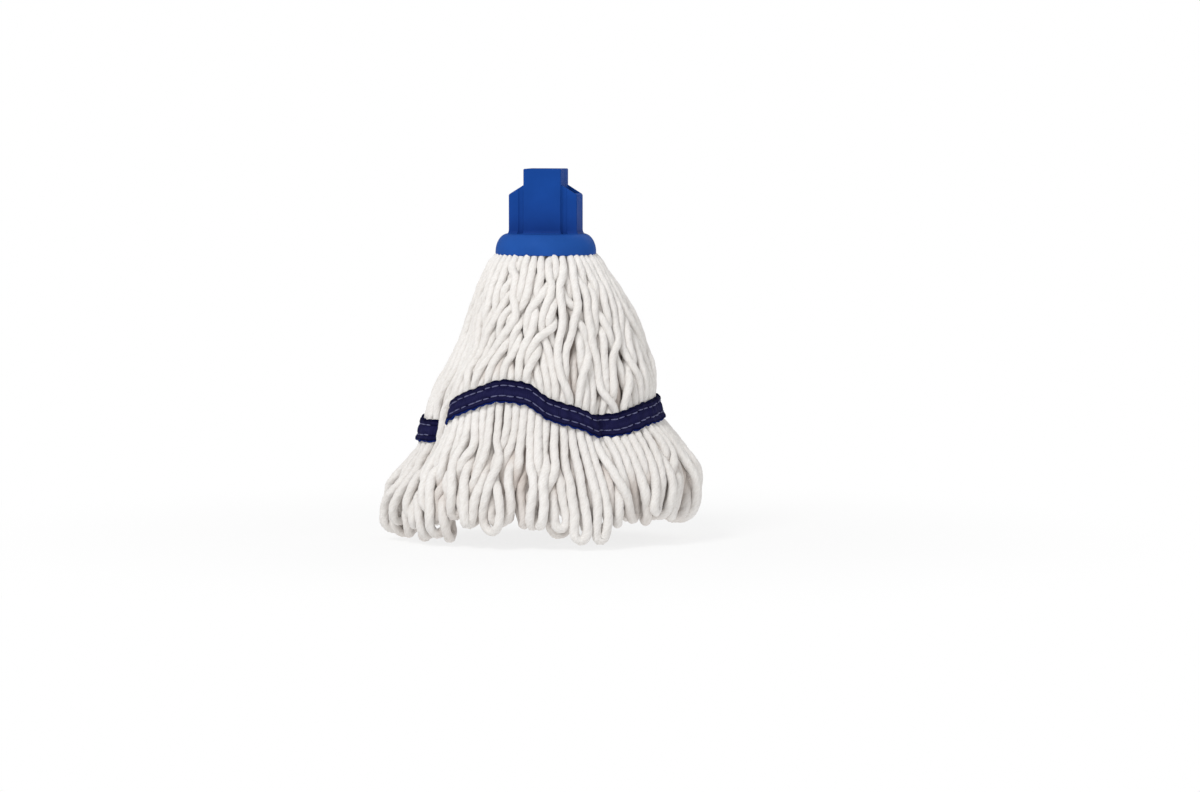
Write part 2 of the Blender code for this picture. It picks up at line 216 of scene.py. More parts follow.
def station_table(bearing):
    """The curtain's heights and outer radii at every station, one row for each bearing."""
    bearing = np.atleast_1d(np.asarray(bearing, float))
    across = np.sin(np.radians(bearing))
    along = np.cos(np.radians(bearing))
    starts = {"floor": 0.0 * bearing, "tape": tape_height(bearing), "hem": hem_height(bearing)}
    heights, reaches = [], []
    for rule, height, left, right, depth, fold in STATIONS:
        side = np.where(across > 0.0, right, left)
        reach = 1.0 / np.hypot(across / side, along / (depth * (left + right) / 2.0))
        for middle, spread, tuck in FOLDS:
            turn = turn_from(bearing, middle)
            reach = reach * (1.0 - tuck * fold * np.exp(-((turn / spread) ** 2)))
        heights.append(starts[rule] + height)
        reaches.append(reach)
    return np.stack(heights, 1), np.stack(reaches, 1)


def curtain_radius(bearing, height):
    """The curtain's outer radius, smooth from station to station."""
    heights, reaches = station_table(bearing)
    height = np.atleast_1d(height)
    last = len(STATIONS) - 1
    row = np.arange(len(heights))
    station = np.clip((heights > height[:, None]).sum(1) - 1, 0, last - 1)
    above = heights[row, station]
    below = heights[row, station + 1]
    share = np.clip((above - height) / np.maximum(above - below, 1e-6), 0.0, 1.0)
    return spline([reaches[row, np.clip(station + step, 0, last)] for step in (-1, 0, 1, 2)], share)


def place_points(bearing, radius, height):
    """Points from bearings, radii and heights."""
    turn = np.radians(np.asarray(bearing) + FRONT_BEARING)
    east = AXIS_X + radius * np.cos(turn)
    north = AXIS_Y + radius * np.sin(turn)
    return np.stack([east, north, height + 0.0 * radius], -1)


def polar(points):
    """The bearing and radius of points."""
    east = points[..., 0] - AXIS_X
    north = points[..., 1] - AXIS_Y
    return np.degrees(np.arctan2(north, east)) - FRONT_BEARING, np.hypot(east, north)


def even_bearings(count, inset):
    """Bearings that share the tailband's length evenly, from the rear round to the rear."""
    fine = np.linspace(-180.0, 180.0, 1441)
    middle = station_table(fine)[1][:, TAPE_STATION] - inset
    along = lengths_along(place_points(fine, middle, tape_height(fine)))
    return np.interp((np.arange(count) + 0.5) / count * along[-1], along, fine)


def collar_slots(rings):
    """Places for the strands' tops in some of the skirt's rings, sorted by bearing."""
    slots = []
    for ring in rings:
        count, radius = RINGS[ring]
        for number in range(count):
            slots.append((360.0 * (number + 0.5 * (ring % 2)) / count - 180.0, radius))
    return np.array(sorted(slots))


def yarn_girth(height):
    """The yarn's thickness at each height: pressed thin in the skirt and fluffed out at the hem."""
    return 1.0 - 0.24 * smooth((height - 0.218) / 0.011) + HEM_SWELL * smooth((0.100 - height) / 0.060)


def waves(height, top, foot, amount, ends=0.0):
    """A strand's gentle wander between two heights, with a share of it left at the foot."""
    share = np.clip((top - height) / (top - foot), 0.0, 1.0)
    total = np.zeros_like(height)
    for turns in (0.8, 1.7, 2.9):
        phase = random.uniform(0.0, 2.0 * np.pi)
        total += random.normal(0.0, 1.0) / turns ** 0.7 * np.sin(2.0 * np.pi * turns * share + phase)
    hold = np.sin(np.pi * share) ** 0.7
    return amount * total * np.maximum(hold, ends * share)


DRIFTS = [(number, random.uniform(0.0, 6.3), random.uniform(-9.0, 9.0), random.normal(0.0, 1.0))
          for number in (3, 4, 6, 7, 9, 11, 13, 16)]


def drift(bearing, height, amount):
    """The sideways drift that neighbouring strands share, which bunches and parts them."""
    total = np.zeros_like(height)
    for number, phase, lean, size in DRIFTS:
        total += size * np.sin(number * np.radians(bearing) + phase + lean * height / 0.1)
    return amount * total / len(DRIFTS) ** 0.5


# The parting in the front of the yarn: bearing, spread, height, reach and how far it opens.
PARTING = (17.0, 13.0, 0.172, 0.034, 0.0075)


def parting(bearing, height):
    """The sideways shift of the strands on both sides of the parting."""
    middle, spread, level, reach, opening = PARTING
    aside = turn_from(bearing, middle) / spread
    return opening * 2.3 * aside * np.exp(-aside ** 2) * np.exp(-((height - level) / reach) ** 2)


def leg_path(slot, tape_bearing, centre, side, foot_height, teardrop, layer, hem_layer, count=90):
    """One strand from the collar to its loop, as points. The centre is the loop's bearing at the tape and
    at its end with its half-width in degrees, and the side is which leg this is."""
    height = np.linspace(YARN_TOP, foot_height, count)
    tape = float(tape_height(tape_bearing))
    top, foot = tape + TAPE_HALF, tape - TAPE_HALF
    upper = smooth((PIN_HEIGHT - height) / (PIN_HEIGHT - top))
    lower = smooth((foot - height) / (foot - foot_height))
    opening = smooth((foot_height + teardrop - height) / teardrop)
    start = slot[0] + 360.0 * round((tape_bearing - slot[0]) / 360.0)
    closed = side * math.degrees(YARN_RADIUS / float(curtain_radius(centre[1], foot_height + teardrop)[0]))
    beside = (tape_bearing - centre[0]) * (1.0 - lower) + closed * lower * (1.0 - opening)
    beside = beside + centre[2] * side * opening
    bearing = start + (tape_bearing - start) * upper
    bearing = np.where(height > foot, bearing, centre[0] + (centre[1] - centre[0]) * lower + beside)
    surface = curtain_radius(bearing, height) - YARN_RADIUS
    hidden = np.clip(RINGS[0][1] - slot[1], 0.0, None)
    depth = hidden * (1.0 - smooth((PIN_HEIGHT - height) / 0.060))
    depth = depth + layer * upper + (hem_layer - layer) * lower
    radius = np.where(height > PIN_HEIGHT, slot[1], surface - depth)
    above = np.sin(np.pi * np.clip((PIN_HEIGHT - height) / (PIN_HEIGHT - top), 0.0, 1.0)) ** 0.8
    below = smooth((foot - height) / 0.035)
    sideways = waves(height, PIN_HEIGHT, top, WAVE_ABOVE)
    sideways = sideways + waves(height, foot, foot_height, WAVE_BELOW, 0.8)
    drifts = drift(bearing, height, DRIFT_ABOVE) * above
    sideways += drifts + drift(bearing + 40.0, height, DRIFT_BELOW) * below
    sideways += parting(bearing, height) * above
    if random.uniform() < STRAY_SHARE:
        stray = random.choice((-1.0, 1.0)) * random.uniform(*STRAY_REACH)
        sideways += stray * above
        radius = radius + STRAY_RISE * above
    bearing = bearing + np.degrees(sideways / np.maximum(radius, 0.02))
    radius = radius - np.abs(waves(height, PIN_HEIGHT, top, WAVE_IN)) + SWELL * above
    return place_points(bearing, radius, height)


def loop_path(slots, tape_bearings, lean, width, foot, layer, hem_layer, curl, kick, sweep):
    """A whole loop: down one leg, round the bend and up the other."""
    middle_bearing = float(np.mean(tape_bearings))
    half = width / 2.0 - YARN_RADIUS
    bend_height = foot + YARN_RADIUS + half
    reach = float(curtain_radius(middle_bearing + lean, bend_height)[0]) - YARN_RADIUS - hem_layer
    centre = (middle_bearing, middle_bearing + lean, math.degrees(half / reach))
    teardrop = TEARDROP * max(1.0, width / WIDE_LOOP)
    legs = [leg_path(slot, tape_bearing, centre, side, bend_height, teardrop, layer, hem_layer)
            for slot, tape_bearing, side in zip(slots, tape_bearings, (-1.0, 1.0))]
    turn = np.linspace(np.pi, 2.0 * np.pi, 16)[1:-1]
    first, last = legs[0][-1], legs[1][-1]
    middle = (first + last) / 2.0
    arm = (last - first) / 2.0
    drop = np.array([0.0, 0.0, 1.0]) * half
    bend = middle + np.cos(turn)[:, None] * arm + np.sin(turn)[:, None] * drop
    path = np.concatenate([legs[0], bend, legs[1][::-1]])
    outward = (middle - np.array([AXIS_X, AXIS_Y, 0.0])) * (1.0, 1.0, 0.0)
    outward = outward / np.linalg.norm(outward)
    sideways = np.array([-outward[1], outward[0], 0.0])
    share = smooth((bend_height + CURL_REACH - path[:, 2]) / CURL_REACH)
    offset = path - middle
    across = offset @ sideways
    along = offset @ outward
    angle = np.radians(curl) * share
    kick = kick - half * abs(math.sin(math.radians(curl)))
    moved = (across * (np.cos(angle) - 1.0) - along * np.sin(angle))[:, None] * sideways
    moved = moved + (across * np.sin(angle) + along * (np.cos(angle) - 1.0))[:, None] * outward
    return path + moved + (share ** 2)[:, None] * (kick * outward + sweep * sideways)


def resample(path, count):
    """The path again with evenly spaced points."""
    along = lengths_along(path)
    at = np.linspace(0.0, along[-1], count)
    return np.stack([np.interp(at, along, path[:, axis]) for axis in range(3)], 1)


def mixed_pairs(count):
    """Pairs of neighbouring legs, some of them interlocked with the next pair's."""
    pairs = []
    for start in range(0, count - 3, 4):
        order = ((0, 1, 2, 3), (0, 2, 1, 3), (0, 1, 2, 3), (0, 3, 1, 2))[random.integers(4)]
        pairs.append((start + order[0], start + order[1]))
        pairs.append((start + order[2], start + order[3]))
    for start in range(count - count % 4, count - 1, 2):
        pairs.append((start, start + 1))
    return pairs


def mixed_slots(slots):
    """The collar's places, with some neighbours swapped so that their strands cross."""
    mixed = slots.copy()
    for number in range(0, len(slots) - 3):
        if random.uniform() < 0.22:
            other = number + random.integers(1, 4)
            mixed[[number, other]] = mixed[[other, number]]
    return mixed


def lay_loops():
    """The starting path of every loop of yarn."""
    loops = []
    outer = even_bearings(2 * OUTER_LOOPS, YARN_RADIUS)
    slots = mixed_slots(collar_slots((0, 1)))
    pairs = mixed_pairs(2 * OUTER_LOOPS)
    centres = np.array([outer[list(pair)].mean() for pair in pairs])
    shown = {int(np.abs(centres - loop[0]).argmin()): loop for loop in SHOWN_LOOPS}
    for number, pair in enumerate(pairs):
        pair = list(pair)
        lean = random.normal(0.0, 2.8)
        width = random.uniform(0.0170, 0.0225)
        foot = float(hem_height(centres[number] + lean)) + abs(random.normal(0.0, 0.004))
        depth = random.uniform(0.0, 0.008)
        curl = random.uniform(-85.0, 85.0)
        kick = random.normal(0.001, 0.003)
        sweep = random.normal(0.0, 0.005)
        if number in shown:
            bearing, width, foot, curl, kick = shown[number]
            lean = bearing - centres[number]
            depth, sweep = 0.0, 0.0
        loops.append(loop_path(slots[pair], outer[pair], lean, width, foot, 0.0, depth, curl, kick, sweep))
    inner = even_bearings(2 * INNER_LOOPS, YARN_RADIUS + INNER_DEPTH)
    slots = mixed_slots(collar_slots((2, 3, 4)))
    for number, pair in enumerate(mixed_pairs(2 * INNER_LOOPS)):
        pair = list(pair)
        layer = INNER_DEPTH * (1 + number % 2)
        lean = random.normal(0.0, 3.0)
        width = random.uniform(0.0185, 0.0245)
        foot = float(hem_height(inner[pair].mean() + lean, INNER_HEM_POINTS)) + random.uniform(0.0, 0.005)
        hem_layer = layer - random.uniform(0.0, 0.007)
        curl = random.uniform(-85.0, 85.0)
        sweep = random.normal(0.0, 0.005)
        loops.append(loop_path(slots[pair], inner[pair], lean, width, foot, layer, hem_layer, curl, 0.0,
                               sweep))
    return loops


def find_pairs(points, strand, place, reach):
    """Pairs of nodes nearer than reach, without near neighbours on the same strand."""
    cell = np.floor(points / reach).astype(np.int64)
    cell -= cell.min(0) - 1
    size = cell.max(0) + 2
    key = (cell[:, 0] * size[1] + cell[:, 1]) * size[2] + cell[:, 2]
    order = np.argsort(key, kind="stable")
    sorted_key = key[order]
    found = []
    for dx, dy, dz in itertools.product((-1, 0, 1), repeat=3):
        shift = (dx * size[1] + dy) * size[2] + dz
        if shift < 0:
            continue
        low = np.searchsorted(sorted_key, key + shift, "left")
        number = np.searchsorted(sorted_key, key + shift, "right") - low
        first = np.repeat(np.arange(len(points)), number)
        step = np.arange(len(first)) - np.repeat(np.cumsum(number) - number, number)
        second = order[np.repeat(low, number) + step]
        keep = (shift > 0) | (second > first)
        found.append((first[keep], second[keep]))
    first, second = np.concatenate(found, axis=1)
    apart = (strand[first] != strand[second]) | (np.abs(place[first] - place[second]) > 4)
    near = ((points[first] - points[second]) ** 2).sum(1) < reach ** 2
    keep = apart & near
    return first[keep], second[keep]


def scatter(index, values, count):
    """The sum of values at each index."""
    return np.stack([np.bincount(index, values[:, axis], count) for axis in range(3)], 1)


def relax(loops, rounds):
    """Let the strands push each other apart, keep their length and fall back towards their paths."""
    counts = [round(lengths_along(path)[-1] / NODE_STEP) for path in loops]
    points = np.concatenate([resample(path, count) for path, count in zip(loops, counts)])
    strand = np.repeat(np.arange(len(loops)), counts)
    place = np.concatenate([np.arange(count) for count in counts])
    total = len(points)
    guide = points.copy()
    linked = np.flatnonzero(strand[:-1] == strand[1:])
    inner = linked[1:][np.diff(linked) == 1]
    halves = [linked[place[linked] % 2 == half] for half in (0, 1)]
    rests = [np.linalg.norm(points[these + 1] - points[these], axis=1) for these in halves]
    pinned = points[:, 2] > PIN_HEIGHT
    bearing, _ = polar(points)
    from_tape = np.abs(points[:, 2] - tape_height(bearing))
    pull = np.where(from_tape < TAPE_HALF, TAPE_PULL, STRAND_PULL)
    pull = np.where(points[:, 2] < HEM_TOP, HEM_PULL, pull)
    radius = YARN_RADIUS * yarn_girth(points[:, 2])
    free = (~pinned).astype(float)[:, None]
    for step in range(rounds):
        if step % 8 == 0:
            first, second = find_pairs(points, strand, place, CONTACT_REACH)
            least = CONTACT_SHARE * (radius[first] + radius[second])
        for these, rest in zip(halves, rests):
            gap = points[these + 1] - points[these]
            length = np.linalg.norm(gap, axis=1)
            push = gap * ((length - rest) / np.maximum(length, 1e-9) / 2.0)[:, None]
            points[these] += push * free[these]
            points[these + 1] -= push * free[these + 1]
        bent = (points[inner - 1] + points[inner + 1]) / 2.0 - points[inner]
        points[inner] += STRAIGHTENING * bent * free[inner]
        gap = points[second] - points[first]
        length = np.maximum(np.linalg.norm(gap, axis=1), 1e-6)
        over = np.clip(least - length, 0.0, None)
        touching = over > 0.0
        push = gap[touching] * (0.5 * over[touching] / length[touching])[:, None]
        moved = scatter(second[touching], push, total) - scatter(first[touching], push, total)
        number = sum(np.bincount(ends[touching], minlength=total) for ends in (first, second))
        points += CONTACT_PUSH * moved / np.maximum(number, 1)[:, None] ** 0.5 * free
        points += (guide - points) * pull[:, None] * free
        bearing, distance = polar(points)
        loose = smooth((np.abs(points[:, 2] - tape_height(bearing)) - LOOSE_RUN) / LOOSE_RUN)
        limit = curtain_radius(bearing, points[:, 2]) - YARN_RADIUS + LOOSE_SLACK * loose
        excess = np.clip(distance - limit, 0.0, None) * free[:, 0] * (0.9 - 0.4 * loose)
        points[:, 0] -= excess * (points[:, 0] - AXIS_X) / np.maximum(distance, 1e-6)
        points[:, 1] -= excess * (points[:, 1] - AXIS_Y) / np.maximum(distance, 1e-6)
        points[:, 2] = np.maximum(points[:, 2], YARN_RADIUS)
    return [points[strand == number] for number in range(len(loops))]


# The strands' skin: three plies in each, and how much painted shade it gets deep inside.
RING_COUNT = 216
PLIES = 3
PLY_PITCH = 0.032
PLY_SHAPE = (0.925, 0.995, 1.025, 1.025, 0.995)
SIDES = PLIES * len(PLY_SHAPE)
SLUB = 0.025
SLUB_WAVE = 0.02
SLUB_RUN = 0.55
SHADE_START = 0.0015
SHADE_RANGE = 0.0075
HEM_SHADE = (0.018, 0.075, 0.35)


def smoothed_lines(lines):
    """Every strand as the same number of evenly spaced points on a smooth line."""
    result = []
    for line in lines:
        fine = line.copy()
        for _ in range(2):
            fine[1:-1] = 0.25 * fine[:-2] + 0.5 * fine[1:-1] + 0.25 * fine[2:]
        along = lengths_along(fine)
        at = np.linspace(0.0, along[-1], RING_COUNT)
        last = len(fine) - 1
        index = np.clip(np.searchsorted(along, at, "right") - 1, 0, last - 1)
        share = ((at - along[index]) / (along[index + 1] - along[index]))[:, None]
        result.append(spline([fine[np.clip(index + step, 0, last)] for step in (-1, 0, 1, 2)], share))
    return np.stack(result)


def frames(lines):
    """The two directions across every strand, without twist."""
    ahead = np.gradient(lines, axis=1)
    ahead /= np.linalg.norm(ahead, axis=2, keepdims=True)
    across = np.zeros_like(lines)
    side = np.cross(ahead[:, 0], np.array([0.3, 1.0, 0.1]))
    across[:, 0] = side / np.linalg.norm(side, axis=1, keepdims=True)
    for ring in range(1, lines.shape[1]):
        before = across[:, ring - 1]
        side = before - (before * ahead[:, ring]).sum(1, keepdims=True) * ahead[:, ring]
        across[:, ring] = side / np.linalg.norm(side, axis=1, keepdims=True)
    return across, np.cross(ahead, across)


def rings_round(lines, radius, angle):
    """Rings of points round every strand, from their radii and angles."""
    across, up = frames(lines)
    spoke = np.cos(angle)[..., None] * across[:, :, None] + np.sin(angle)[..., None] * up[:, :, None]
    return lines[:, :, None] + radius[..., None] * spoke


def tube_mesh(name, tubes, lengths, layer_name):
    """Closed tubes through rings of points, with length and girth as UVs."""
    count, ring_count, sides = tubes.shape[:3]
    ring, side = np.meshgrid(np.arange(ring_count - 1), np.arange(sides), indexing="ij")
    after = (side + 1) % sides
    quads = np.stack([ring * sides + side, ring * sides + after, (ring + 1) * sides + after,
                      (ring + 1) * sides + side], -1).reshape(-1, 4)
    caps = np.stack([np.arange(sides)[::-1], (ring_count - 1) * sides + np.arange(sides)])
    first = np.arange(count)[:, None, None] * ring_count * sides
    quads = (quads[None] + first).reshape(-1, 4)
    caps = (caps[None] + first).reshape(-1, sides)
    mesh = bpy.data.meshes.new(name)
    mesh.vertices.add(count * ring_count * sides)
    mesh.vertices.foreach_set("co", tubes.astype(np.float32).ravel())
    mesh.loops.add(quads.size + caps.size)
    mesh.loops.foreach_set("vertex_index", np.concatenate([quads.ravel(), caps.ravel()]).astype(np.int32))
    mesh.polygons.add(len(quads) + len(caps))
    starts = np.concatenate([np.arange(len(quads)) * 4, len(quads) * 4 + np.arange(len(caps)) * sides])
    mesh.polygons.foreach_set("loop_start", starts.astype(np.int32))
    mesh.update(calc_edges=True)
    mesh.shade_smooth()
    layer = mesh.uv_layers.new(name=layer_name)
    girth = np.stack([side, side + 1, side + 1, side], -1) / sides
    along = lengths[:, np.stack([ring, ring, ring + 1, ring + 1], -1)]
    uv = np.stack([along, np.broadcast_to(girth, along.shape)], -1).reshape(-1, 2)
    layer.data.foreach_set("uv", np.concatenate([uv, np.zeros((caps.size, 2))]).astype(np.float32).ravel())
    return mesh


def yarn_skin(lines):
    """The rings of points round every strand: soft plies that twist along it."""
    along = np.stack([lengths_along(line) for line in lines])
    phase = random.uniform(0.0, 2.0 * np.pi, len(lines))[:, None]
    twist = 2.0 * np.pi * along / PLY_PITCH + phase
    angle = np.arange(SIDES) * 2.0 * np.pi / SIDES + twist[:, :, None]
    thick = 1.0 + random.normal(0.0, SLUB, len(lines))[:, None] + 0.0 * along
    for turns in (5.0, 11.0, 23.0):
        shift = random.uniform(0.0, 2.0 * np.pi, len(lines))[:, None]
        thick += SLUB_WAVE * np.sin(2.0 * np.pi * turns * along / SLUB_RUN + shift)
    thick *= yarn_girth(lines[:, :, 2])
    radius = YARN_RADIUS * thick[:, :, None] * np.tile(PLY_SHAPE, PLIES)
    return rings_round(lines, radius, angle), along


def mark_depth_shade(mesh, line):
    """Note on every ring of a strand how deep it lies under the curtain's surface, from 0 to 1: the share
    of painted shade that darkens it. The open hem takes less of it."""
    bearing, distance = polar(line)
    depth = curtain_radius(bearing, line[:, 2]) - YARN_RADIUS - distance
    low, high, least = HEM_SHADE
    share = smooth((depth - SHADE_START) / SHADE_RANGE)
    share = share * (least + (1.0 - least) * smooth((line[:, 2] - low) / (high - low)))
    layer = mesh.attributes.new("depth", "FLOAT", "POINT")
    layer.data.foreach_set("value", np.repeat(share, SIDES).astype(np.float32))


def add_object(name, data):
    """An object in the scene."""
    thing = bpy.data.objects.new(name, data)
    bpy.context.scene.collection.objects.link(thing)
    return thing


def make_object(name, mesh, material):
    """A piece of the mop head that rides on its one body."""
    piece = add_object(name, mesh)
    piece.data.materials.append(material)
    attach(piece, "root")
    return piece


def mesh_from(name, shape):
    """A mesh from a bmesh, which is freed."""
    mesh = bpy.data.meshes.new(name)
    shape.to_mesh(mesh)
    shape.free()
    return mesh


def join_rings(shape, rings):
    """Faces from each closed ring of vertices to the next."""
    for upper, lower in zip(rings, rings[1:]):
        for number in range(len(upper)):
            after = (number + 1) % len(upper)
            corners = dict.fromkeys((upper[number], lower[number], lower[after], upper[after]))
            shape.faces.new(tuple(corners))


class Look:
    """A Principled material that is built up node by node."""

    def __init__(self, name, colour, roughness, specular=0.25, **values):
        self.material = bpy.data.materials.new(name)
        self.material.use_nodes = True
        self.tree = self.material.node_tree
        self.shader = self.tree.nodes["Principled BSDF"]
        self.fill(self.shader, Base_Color=(*colour, 1.0), Roughness=roughness)
        self.fill(self.shader, Specular_IOR_Level=specular, **values)

    def fill(self, node, **values):
        """Set a node's inputs, with underscores for the spaces in their names."""
        for name, value in values.items():
            node.inputs[name.replace("_", " ")].default_value = value

    def node(self, kind, links=(), **values):
        """A node with its inputs set, or linked from other nodes' outputs."""
        node = self.tree.nodes.new(kind)
        self.fill(node, **values)
        for name, source in links:
            self.tree.links.new(source, node.inputs[name])
        return node

    def link(self, source, name):
        """Join an output to one of the shader's inputs."""
        self.tree.links.new(source, self.shader.inputs[name])

    def place(self, layer=None, scale=(1.0, 1.0, 1.0)):
        """Coordinates from a UV layer, or from the object itself, scaled."""
        if layer:
            source = self.tree.nodes.new("ShaderNodeUVMap")
            source.uv_map = layer
            output = source.outputs["UV"]
        else:
            output = self.tree.nodes.new("ShaderNodeTexCoord").outputs["Object"]
        return self.node("ShaderNodeMapping", (("Vector", output),), Scale=scale).outputs["Vector"]

    def noise(self, vector, scale=1.0, detail=3.0):
        """A soft noise at the coordinates."""
        node = self.node("ShaderNodeTexNoise", (("Vector", vector),), Scale=scale, Detail=detail)
        return node.outputs["Fac"]

    def ramp(self, source, stops):
        """Colours along a value. A number stands for a grey."""
        node = self.node("ShaderNodeValToRGB", (("Fac", source),))
        elements = node.color_ramp.elements
        for _ in range(len(stops) - 2):
            elements.new(0.5)
        for element, (place, colour) in zip(elements, stops):
            element.position = place
            element.color = (*np.broadcast_to(colour, 3), 1.0)
        return node.outputs["Color"]

    def multiply(self, first, second):
        """One colour times another."""
        node = self.node("ShaderNodeMix")
        node.data_type = "RGBA"
        node.blend_type = "MULTIPLY"
        node.inputs["Factor"].default_value = 1.0
        self.tree.links.new(first, node.inputs["A"])
        self.tree.links.new(second, node.inputs["B"])
        return node.outputs["Result"]

    def bump(self, height, distance, strength=1.0, below=None):
        """Relief from a height, over any relief below it."""
        links = [("Height", height)] + ([("Normal", below)] if below else [])
        return self.node("ShaderNodeBump", links, Distance=distance, Strength=strength).outputs["Normal"]


def tints(colour, *shares):
    """Shades of a colour."""
    return [tuple(channel * share for channel in colour) for share in shares]


def yarn_look():
    """Soft off-white yarn with fine fibres along it, faintly warmer patches and painted shade on the
    strands deep inside.
    """
    look = Look("soft_yarn", (0.87, 0.85, 0.82), 0.95, 0.10, Sheen_Weight=0.20, Sheen_Roughness=0.55)
    fibres = look.noise(look.place("strand", (420.0, 16.0, 1.0)), 1.0, 4.0)
    patches = look.noise(look.place(), 26.0, 2.0)
    fine = look.ramp(fibres, ((0.30, (0.90, 0.885, 0.865)), (0.62, 1.0)))
    broad = look.ramp(patches, ((0.30, (0.80, 0.775, 0.75)), (0.70, (0.86, 0.84, 0.82))))
    # Painted shade: strands that lie deep under the curtain's surface are darkened and warmed by the share
    # in their depth attribute.
    depth = look.tree.nodes.new("ShaderNodeAttribute")
    depth.attribute_name = "depth"
    painted_deep_shade = look.ramp(depth.outputs["Fac"], ((0.0, 1.0), (1.0, (0.78, 0.72, 0.685))))
    look.link(look.multiply(look.multiply(broad, fine), painted_deep_shade), "Base Color")
    lumps = look.noise(look.place(), 420.0, 3.0)
    relief = look.bump(lumps, 0.0006, 0.6)
    look.link(look.bump(fibres, 0.0005, 0.7, relief), "Normal")
    return look.material


def tape_look():
    """Navy woven tape: ribs across it, black edges, a brighter lower edge and painted shade along its
    stitch rows.
    """
    look = Look("navy_weave", (0.012, 0.010, 0.070), 0.92, 0.04, Sheen_Weight=0.03,
                Sheen_Tint=(0.35, 0.36, 0.80, 1.0))
    split = look.node("ShaderNodeSeparateXYZ", (("Vector", look.place("tape")),))
    # Tone across the tape, from its lower edge (0) to its upper edge (1): a brighter lower edge, black
    # edges, and painted shade in the dark bands at 0.295 and 0.75 along the two stitch rows.
    across = look.ramp(split.outputs["Y"], (
        (0.00, (0.004, 0.020, 0.150)), (0.045, (0.004, 0.014, 0.110)), (0.09, (0.001, 0.001, 0.014)),
        (0.15, (0.011, 0.011, 0.048)), (0.25, (0.009, 0.009, 0.042)), (0.295, (0.002, 0.002, 0.016)),
        (0.34, (0.010, 0.010, 0.046)), (0.50, (0.014, 0.014, 0.056)), (0.70, (0.010, 0.010, 0.046)),
        (0.75, (0.002, 0.002, 0.016)), (0.80, (0.009, 0.009, 0.042)), (0.88, (0.009, 0.009, 0.040)),
        (0.95, (0.001, 0.001, 0.014)), (1.00, (0.002, 0.003, 0.026))))
    worn = look.noise(look.place("tape", (160.0, 4.0, 1.0)), 1.0, 3.0)
    tone = look.ramp(worn, ((0.30, (0.70, 0.70, 0.78)), (0.70, (1.25, 1.25, 1.20))))
    look.link(look.multiply(across, tone), "Base Color")
    ribs = look.node("ShaderNodeTexWave", (("Vector", look.place("tape", (1.0, 0.0, 1.0))),),
                     Scale=185.0, Distortion=0.6, Detail=1.0)
    threads = look.node("ShaderNodeTexWave", (("Vector", look.place("tape", (0.0, 1.0, 1.0))),),
                        Scale=4.2, Distortion=0.4, Detail=1.0)
    threads.bands_direction = "Y"
    relief = look.bump(ribs.outputs["Fac"], 0.0003, 0.8)
    look.link(look.bump(threads.outputs["Fac"], 0.0002, 0.6, relief), "Normal")
    return look.material


def thread_look():
    """Lilac-grey sewing thread with a fine twist."""
    look = Look("lilac_thread", (0.16, 0.165, 0.30), 0.75)
    plies = look.noise(look.place("strand", (1500.0, 5.0, 1.0)), 1.0, 1.0)
    shades = tints((0.120, 0.125, 0.235), 0.75, 1.20)
    look.link(look.ramp(plies, ((0.35, shades[0]), (0.65, shades[1]))), "Base Color")
    look.link(look.bump(plies, 0.0002, 0.6), "Normal")
    return look.material


def plastic_look(name, colour, roughness, bands):
    """Moulded plastic with a faint grain, cloudy colour and handling marks in its gloss. The bands are
    shares of the socket's height with the tint painted there for light and shade, multiplied onto the
    colour."""
    look = Look(name, colour, roughness, 0.5, IOR=PLASTIC_IOR)
    clouds = look.noise(look.place(), 45.0, 3.0)
    shades = tints(colour, 0.92, 1.07)
    cloudy = look.ramp(clouds, ((0.30, shades[0]), (0.70, shades[1])))
    split = look.node("ShaderNodeSeparateXYZ", (("Vector", look.place()),))
    low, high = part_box("mop_socket")
    rise = look.node("ShaderNodeMapRange", (("Value", split.outputs["Z"]),), From_Min=low[2],
                     From_Max=high[2])
    height_painted_light = look.ramp(rise.outputs["Result"], bands)
    look.link(look.multiply(cloudy, height_painted_light), "Base Color")
    marks = look.noise(look.place(None, (1.0, 1.0, 0.25)), 160.0, 5.0)
    gloss = look.ramp(marks, ((0.30, roughness - 0.05), (0.75, roughness + 0.08)))
    look.link(gloss, "Roughness")
    grain = look.noise(look.place(), 2600.0, 2.0)
    look.link(look.bump(grain, 0.00005, 0.5), "Normal")
    return look.material


PLASTIC_IOR = 1.08
YARN = yarn_look()
NAVY = tape_look()
# Painted light and shade by height: the skirt painted lighter, as where it faces up to the light, its
# lowest edge a little darker, and the body painted darker in painted shade at its foot, less so towards
# the top.
BLUE = plastic_look("socket_blue", (0.0165, 0.0790, 0.330), 0.50, (
    (0.00, (0.92, 0.92, 0.96)), (0.12, 1.00), (0.235, 1.00),
    (0.255, (0.55, 0.54, 0.68)), (0.45, (0.55, 0.63, 0.76)), (0.75, (0.55, 0.70, 0.82)),
    (1.00, (0.55, 0.71, 0.83))))
PALE = plastic_look("natural_moulding", (0.60, 0.60, 0.575), 0.50, ((0.00, 0.94), (0.50, 1.00)))
THREAD = thread_look()


def nearest_locks(lines):
    """The CAD's locks of yarn that each loop of the outer layer stands for, the nearest loop for each."""
    bearing, _ = polar(lines[:OUTER_LOOPS, RING_COUNT // 4:-RING_COUNT // 4].mean(1))
    shares = {}
    for node in sorted(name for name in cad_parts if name.startswith("yarn_lock")):
        middle = np.mean(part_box(node), axis=0)
        away = np.abs(turn_from(bearing, polar(middle)[0]))
        shares.setdefault(int(away.argmin()), []).append(node)
    return shares


